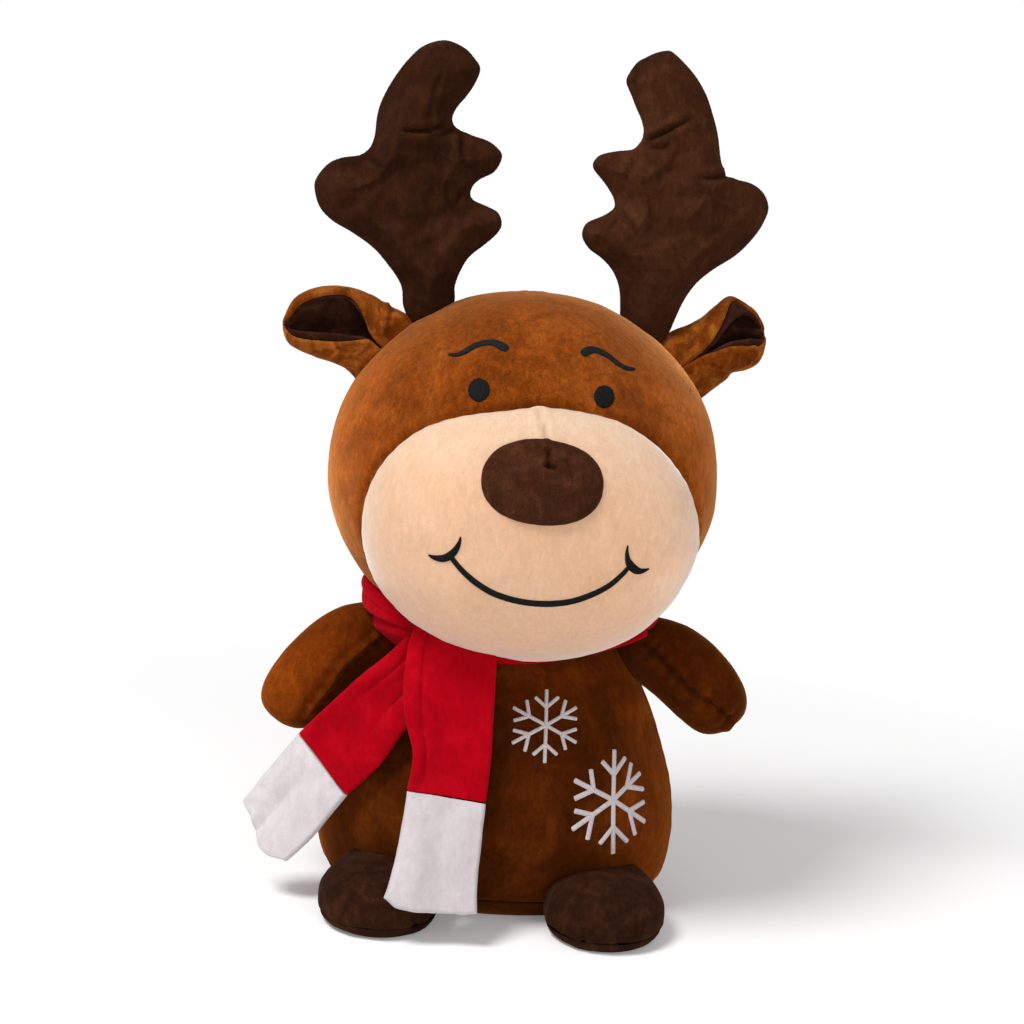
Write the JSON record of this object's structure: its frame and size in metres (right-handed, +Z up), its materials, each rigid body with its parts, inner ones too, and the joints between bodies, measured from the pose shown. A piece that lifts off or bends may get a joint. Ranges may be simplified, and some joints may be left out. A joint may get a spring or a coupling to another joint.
{
  "type": "plush deer",
  "caption": "Stuffed deer standing on a flat base: big head with a domed muzzle, padded antlers and ears, stub arms and feet, and a scarf with hanging ends.",
  "frame": {"origin": "middle of the base panel's flat underside", "axes": "+Z up through the head; the belly faces -Y; +X is the toy's left arm side, on the viewer's right"},
  "size_m": [0.2822, 0.2066, 0.468],
  "materials": {
    "head_plush": "short-pile plush, warm brown",
    "body_plush": "short-pile plush, dark brown",
    "dark_plush": "short-pile plush, near-black brown",
    "lining_plush": "brushed lining, near-black brown",
    "cream_plush": "short-pile plush, cream",
    "nose_plush": "short-pile plush, dark brown",
    "red_fleece": "anti-pill fleece, red",
    "white_fleece": "anti-pill fleece, white",
    "black_thread": "satin-stitched rayon thread, black",
    "pale_thread": "satin-stitched rayon thread, pale pink-grey",
    "fibre": "polyester fibre stuffing",
    "pellets": "cotton bag of plastic pellets"
  },
  "bodies": {
    "torso": {"torso_cover": "body_plush", "torso_filling": "fibre", "base_panel": "body_plush", "pellet_bag": "pellets", "scarf_wrap": "red_fleece", "snowflake_small": "pale_thread", "snowflake_large": "pale_thread", "foot_left_upper": "dark_plush", "foot_left_sole": "dark_plush", "foot_left_filling": "fibre", "foot_right_upper": "dark_plush", "foot_right_sole": "dark_plush", "foot_right_filling": "fibre"},
    "head": {"head_cover": "head_plush", "head_filling": "fibre", "muzzle_panel": "cream_plush", "nose_panel": "nose_plush", "eye_left": "black_thread", "eye_right": "black_thread", "brow_left": "black_thread", "brow_right": "black_thread", "mouth_stitching": "black_thread"},
    "scarf_front": {"scarf_front_tail": "red_fleece", "scarf_front_end": "white_fleece"},
    "scarf_side": {"scarf_side_tail": "red_fleece", "scarf_side_end": "white_fleece"},
    "antler_left": {"antler_left_cover": "dark_plush", "antler_left_filling": "fibre"},
    "ear_left": {"ear_left_outer": "head_plush", "ear_left_lining": "lining_plush"},
    "arm_left": {"arm_left_cover": "body_plush", "arm_left_filling": "fibre"},
    "antler_right": {"antler_right_cover": "dark_plush", "antler_right_filling": "fibre"},
    "ear_right": {"ear_right_outer": "head_plush", "ear_right_lining": "lining_plush"},
    "arm_right": {"arm_right_cover": "body_plush", "arm_right_filling": "fibre"}
  },
  "joints": [
    {"name": "head_twist", "type": "hinge", "parent": "torso", "child": "head", "pos_m": [0, -0.004, 0.158], "axis": [0, 0, 1], "range_deg": [-12, 12], "stiffness_Nm_per_rad": 1.2},
    {"name": "antler_left_bend", "type": "hinge", "parent": "head", "child": "antler_left", "pos_m": [-0.05813, -0.00507, 0.321], "axis": [0.9962, 0.0872, 0], "range_deg": [-15, 15], "stiffness_Nm_per_rad": 0.4},
    {"name": "ear_left_fold", "type": "hinge", "parent": "head", "child": "ear_left", "pos_m": [-0.08403, -0.00734, 0.303], "axis": [-0.4981, -0.0436, -0.866], "range_deg": [-20, 20], "stiffness_Nm_per_rad": 0.05},
    {"name": "arm_left_lift", "type": "hinge", "parent": "torso", "child": "arm_left", "pos_m": [-0.067, -0.003, 0.146], "axis": [0, 1, 0], "range_deg": [0, 25], "stiffness_Nm_per_rad": 0.06},
    {"name": "antler_right_bend", "type": "hinge", "parent": "head", "child": "antler_right", "pos_m": [0.05743, 0.00504, 0.321], "axis": [0.9962, 0.0872, 0], "range_deg": [-15, 15], "stiffness_Nm_per_rad": 0.4},
    {"name": "ear_right_fold", "type": "hinge", "parent": "head", "child": "ear_right", "pos_m": [0.08333, 0.00731, 0.303], "axis": [0.4981, 0.0436, -0.866], "range_deg": [-20, 20], "stiffness_Nm_per_rad": 0.05},
    {"name": "arm_right_lift", "type": "hinge", "parent": "torso", "child": "arm_right", "pos_m": [0.067, -0.003, 0.146], "axis": [0, -1, 0], "range_deg": [0, 25], "stiffness_Nm_per_rad": 0.06},
    {"name": "scarf_front_lift", "type": "hinge", "parent": "torso", "child": "scarf_front", "pos_m": [-0.03, -0.0715, 0.145], "axis": [-1, 0, 0], "range_deg": [0, 60]},
    {"name": "scarf_side_lift", "type": "hinge", "parent": "torso", "child": "scarf_side", "pos_m": [-0.0531, -0.076, 0.13], "axis": [0, 0, 1], "range_deg": [0, 45], "stiffness_Nm_per_rad": 0.01}
  ]
}
